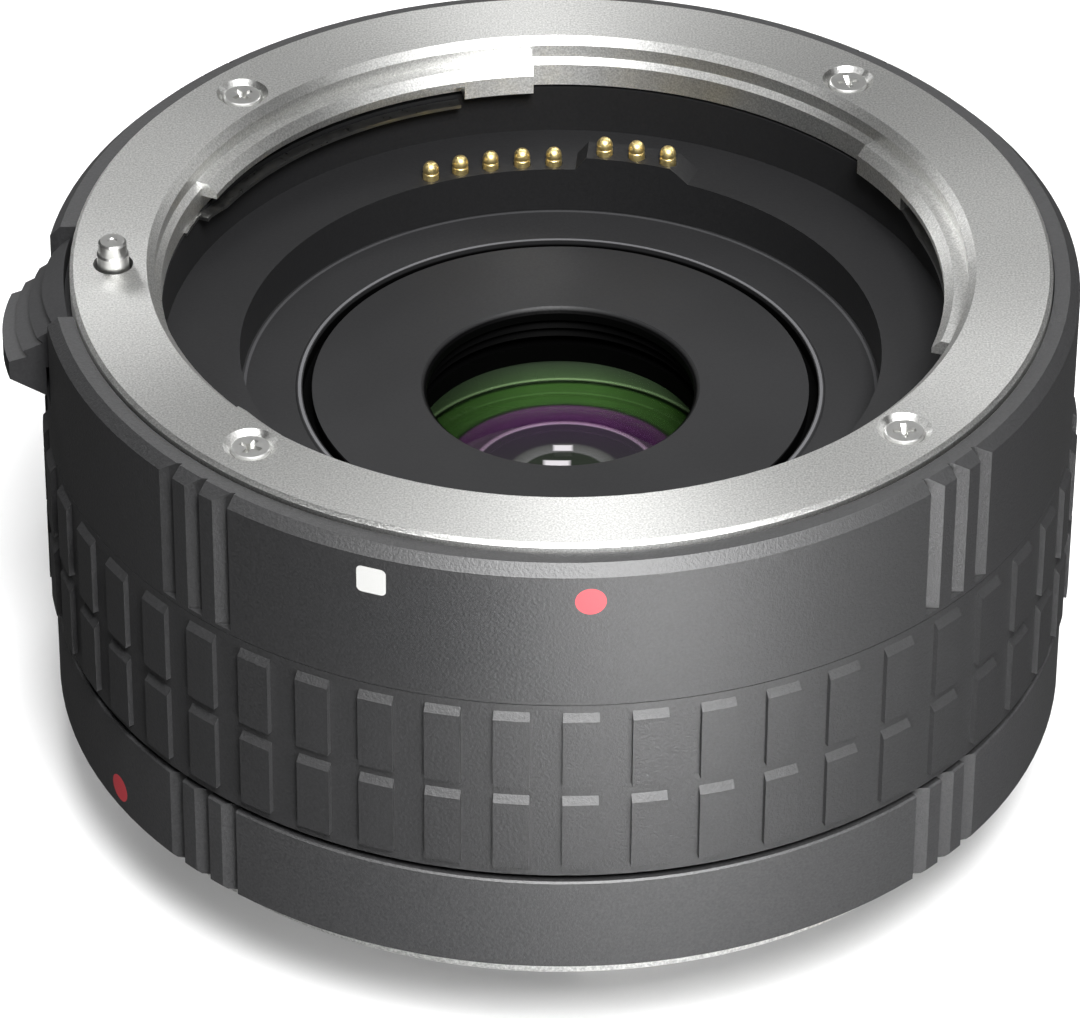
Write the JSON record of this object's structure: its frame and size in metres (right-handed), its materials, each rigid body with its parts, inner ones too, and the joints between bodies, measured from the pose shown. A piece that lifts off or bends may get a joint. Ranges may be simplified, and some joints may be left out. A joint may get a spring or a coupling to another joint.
{
  "type": "camera teleconverter",
  "caption": "Short camera teleconverter: bayonet ring with sprung contacts and a lock pin on the lens side, padded grip band, glass inside, and a male bayonet on the camera side.",
  "frame": {"origin": "on the optical axis, at the camera-side flange face", "axes": "+Z along the optical axis towards the lens, -X to the release lever, -Y to the red dot that the lens is lined up with"},
  "size_m": [0.0707, 0.0684, 0.0416],
  "materials": {
    "mount_steel": "satin, fine bead blast",
    "screw_steel": "bright",
    "spring_steel": "bright",
    "barrel_paint": "fine matt texture, painted",
    "grip_black": "fine matt texture, painted",
    "lever_black": "fine matt texture",
    "inner_plastic": "matt",
    "black_anodised": "matt black anodised",
    "gilt": "gold plated",
    "coated_glass": "polished, coated",
    "white_mark": "paint",
    "red_mark": "paint",
    "flex_amber": "satin",
    "chip_black": "matt"
  },
  "bodies": {
    "barrel_assembly": {"front_mount_ring": "mount_steel", "front_mount_screws": "screw_steel", "leaf_spring_left": "spring_steel", "leaf_spring_right": "spring_steel", "leaf_spring_front": "spring_steel", "front_barrel": "barrel_paint", "grip_ring": "grip_black", "rear_barrel": "barrel_paint", "index_square": "white_mark", "index_dot_front": "red_mark", "index_dot_rear": "red_mark", "chassis": "black_anodised", "chamber_ring": "inner_plastic", "contact_block": "inner_plastic", "contact_block_screws": "screw_steel", "flex_circuit": "flex_amber", "data_chip": "chip_black", "lens_cell": "black_anodised", "cell_screws": "screw_steel", "front_baffle_disc": "black_anodised", "front_retaining_ring": "black_anodised", "lens_1": "coated_glass", "lens_spacer_front": "black_anodised", "lens_2": "coated_glass", "lens_3": "coated_glass", "lens_spacer_rear": "black_anodised", "lens_4": "coated_glass", "lens_5": "coated_glass", "rear_retaining_ring": "black_anodised", "rear_mount": "mount_steel", "rear_mount_screws": "screw_steel", "rear_mount_shim": "spring_steel", "rear_baffle": "inner_plastic", "rear_contact_block": "inner_plastic", "rear_contact_pads": "gilt", "rear_contact_screws": "screw_steel", "lever_spring": "spring_steel", "contact_spring_1": "spring_steel", "contact_spring_2": "spring_steel", "contact_spring_3": "spring_steel", "contact_spring_4": "spring_steel", "contact_spring_5": "spring_steel", "contact_spring_6": "spring_steel", "contact_spring_7": "spring_steel", "contact_spring_8": "spring_steel"},
    "release_lever": {"release_lever": "lever_black", "lever_carrier": "screw_steel", "lever_screws": "screw_steel", "lock_pin": "mount_steel"},
    "contact_pin_1": {"contact_pin_1": "gilt"},
    "contact_pin_2": {"contact_pin_2": "gilt"},
    "contact_pin_3": {"contact_pin_3": "gilt"},
    "contact_pin_4": {"contact_pin_4": "gilt"},
    "contact_pin_5": {"contact_pin_5": "gilt"},
    "contact_pin_6": {"contact_pin_6": "gilt"},
    "contact_pin_7": {"contact_pin_7": "gilt"},
    "contact_pin_8": {"contact_pin_8": "gilt"}
  },
  "joints": [
    {"name": "lever_slide", "type": "slide", "parent": "barrel_assembly", "child": "release_lever", "axis": [0, 0, -1], "range_m": [0, 0.0024], "stiffness_N_per_m": 800, "springref_m": -0.002, "deforming": ["lever_spring"]},
    {"name": "contact_pin_1_slide", "type": "slide", "parent": "barrel_assembly", "child": "contact_pin_1", "axis": [0, 0, -1], "range_m": [0, 0.001], "stiffness_N_per_m": 500, "springref_m": -0.0006, "deforming": ["contact_spring_1"]},
    {"name": "contact_pin_2_slide", "type": "slide", "parent": "barrel_assembly", "child": "contact_pin_2", "axis": [0, 0, -1], "range_m": [0, 0.001], "stiffness_N_per_m": 500, "springref_m": -0.0006, "deforming": ["contact_spring_2"]},
    {"name": "contact_pin_3_slide", "type": "slide", "parent": "barrel_assembly", "child": "contact_pin_3", "axis": [0, 0, -1], "range_m": [0, 0.001], "stiffness_N_per_m": 500, "springref_m": -0.0006, "deforming": ["contact_spring_3"]},
    {"name": "contact_pin_4_slide", "type": "slide", "parent": "barrel_assembly", "child": "contact_pin_4", "axis": [0, 0, -1], "range_m": [0, 0.001], "stiffness_N_per_m": 500, "springref_m": -0.0006, "deforming": ["contact_spring_4"]},
    {"name": "contact_pin_5_slide", "type": "slide", "parent": "barrel_assembly", "child": "contact_pin_5", "axis": [0, 0, -1], "range_m": [0, 0.001], "stiffness_N_per_m": 500, "springref_m": -0.0006, "deforming": ["contact_spring_5"]},
    {"name": "contact_pin_6_slide", "type": "slide", "parent": "barrel_assembly", "child": "contact_pin_6", "axis": [0, 0, -1], "range_m": [0, 0.001], "stiffness_N_per_m": 500, "springref_m": -0.0006, "deforming": ["contact_spring_6"]},
    {"name": "contact_pin_7_slide", "type": "slide", "parent": "barrel_assembly", "child": "contact_pin_7", "axis": [0, 0, -1], "range_m": [0, 0.001], "stiffness_N_per_m": 500, "springref_m": -0.0006, "deforming": ["contact_spring_7"]},
    {"name": "contact_pin_8_slide", "type": "slide", "parent": "barrel_assembly", "child": "contact_pin_8", "axis": [0, 0, -1], "range_m": [0, 0.001], "stiffness_N_per_m": 500, "springref_m": -0.0006, "deforming": ["contact_spring_8"]}
  ]
}
